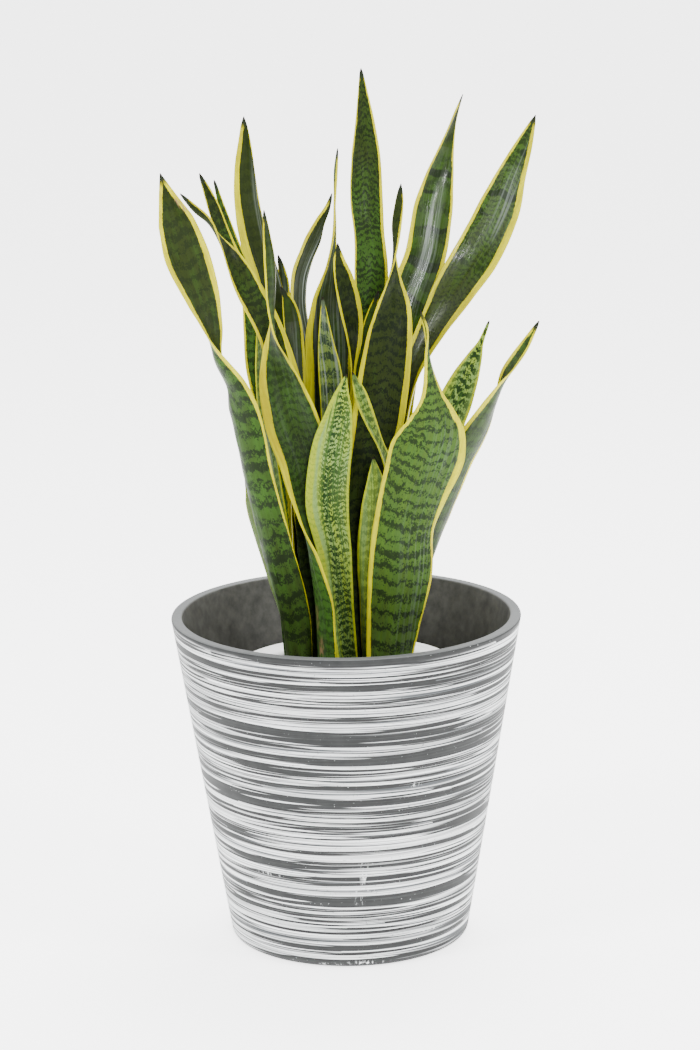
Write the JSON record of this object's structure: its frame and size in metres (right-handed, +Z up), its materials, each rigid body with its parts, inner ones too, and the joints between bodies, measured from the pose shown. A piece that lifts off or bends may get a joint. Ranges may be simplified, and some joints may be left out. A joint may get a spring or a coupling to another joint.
{
  "type": "potted laurentii snake plant",
  "caption": "Snake plant with upright, dark-banded, yellow-edged sword leaves, some twisted at the tip, rooted in soil in a lined, tapered grey planter with white brushed strokes.",
  "frame": {"origin": "centre of the planter's base, on the floor", "axes": "+Z up, -Y towards the front of the plant as pictured, +X to the picture's right"},
  "size_m": [0.3234, 0.3048, 0.7541],
  "materials": {
    "planter": "mid-grey resin with white brushed strokes round it, satin",
    "liner": "plain moulded white, satin",
    "soil": "dark crumbly potting soil, rough",
    "leaf_green": "waxy dark green with darker cross bands and yellow margins, glossy",
    "leaf_pale": "waxy pale green with dark flecked cross bands and yellow-green margins, glossy"
  },
  "bodies": {
    "root": {"planter": "planter", "liner": "liner", "soil": "soil", "leaf_far_left": "leaf_green", "leaf_front_left": "leaf_green", "leaf_pale_centre": "leaf_pale", "leaf_front_broad": "leaf_green", "leaf_low_pale": "leaf_pale", "leaf_pale_twist": "leaf_pale", "leaf_right_outer": "leaf_green", "leaf_right_pale": "leaf_pale", "leaf_far_right": "leaf_green", "leaf_right_tall": "leaf_green", "leaf_tallest": "leaf_green", "leaf_dark_twist": "leaf_green", "leaf_small_dark": "leaf_green", "leaf_centre_dark": "leaf_green", "leaf_centre_left": "leaf_green", "leaf_centre_pale": "leaf_pale", "leaf_violet": "leaf_green", "leaf_left_hook": "leaf_green", "leaf_left_small": "leaf_green", "leaf_left_tall": "leaf_green", "leaf_left_spike": "leaf_green", "leaf_left_green": "leaf_green", "leaf_left_thin": "leaf_green", "leaf_left_inner": "leaf_pale", "leaf_left_low": "leaf_pale"}
  },
  "joints": []
}
